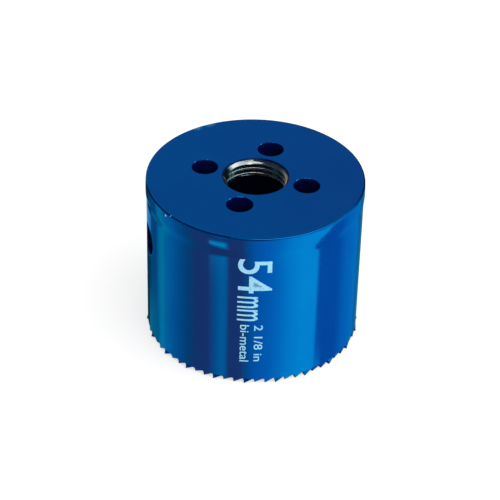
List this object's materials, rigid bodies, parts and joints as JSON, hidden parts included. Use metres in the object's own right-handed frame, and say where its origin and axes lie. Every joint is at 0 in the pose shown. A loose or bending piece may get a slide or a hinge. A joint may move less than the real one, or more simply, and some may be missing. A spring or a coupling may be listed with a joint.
{
  "type": "hole saw",
  "caption": "Cup-shaped hole saw: toothed rolled steel band closed by a cap plate with a threaded arbor bore, drive pin holes and core removal holes.",
  "frame": {"origin": "centre of the circle of tooth tips, on the plane that the tips stand on", "axes": "+Z along the saw's axis, from the teeth towards the cap; the first tooth tip lies 0.7 degrees from +X"},
  "size_m": [0.054, 0.0539, 0.0432],
  "materials": {
    "blue_lacquer_cap": "gloss lacquer",
    "blue_lacquer_band": "gloss lacquer",
    "cutting_edge": "gloss lacquer, bare at the tips",
    "thread_steel": "tapped, left bare",
    "white_print": "pad printed size mark"
  },
  "bodies": {
    "root": {"cap_plate": "blue_lacquer_cap", "shell_band": "blue_lacquer_band", "tooth_edge": "cutting_edge"}
  },
  "joints": []
}
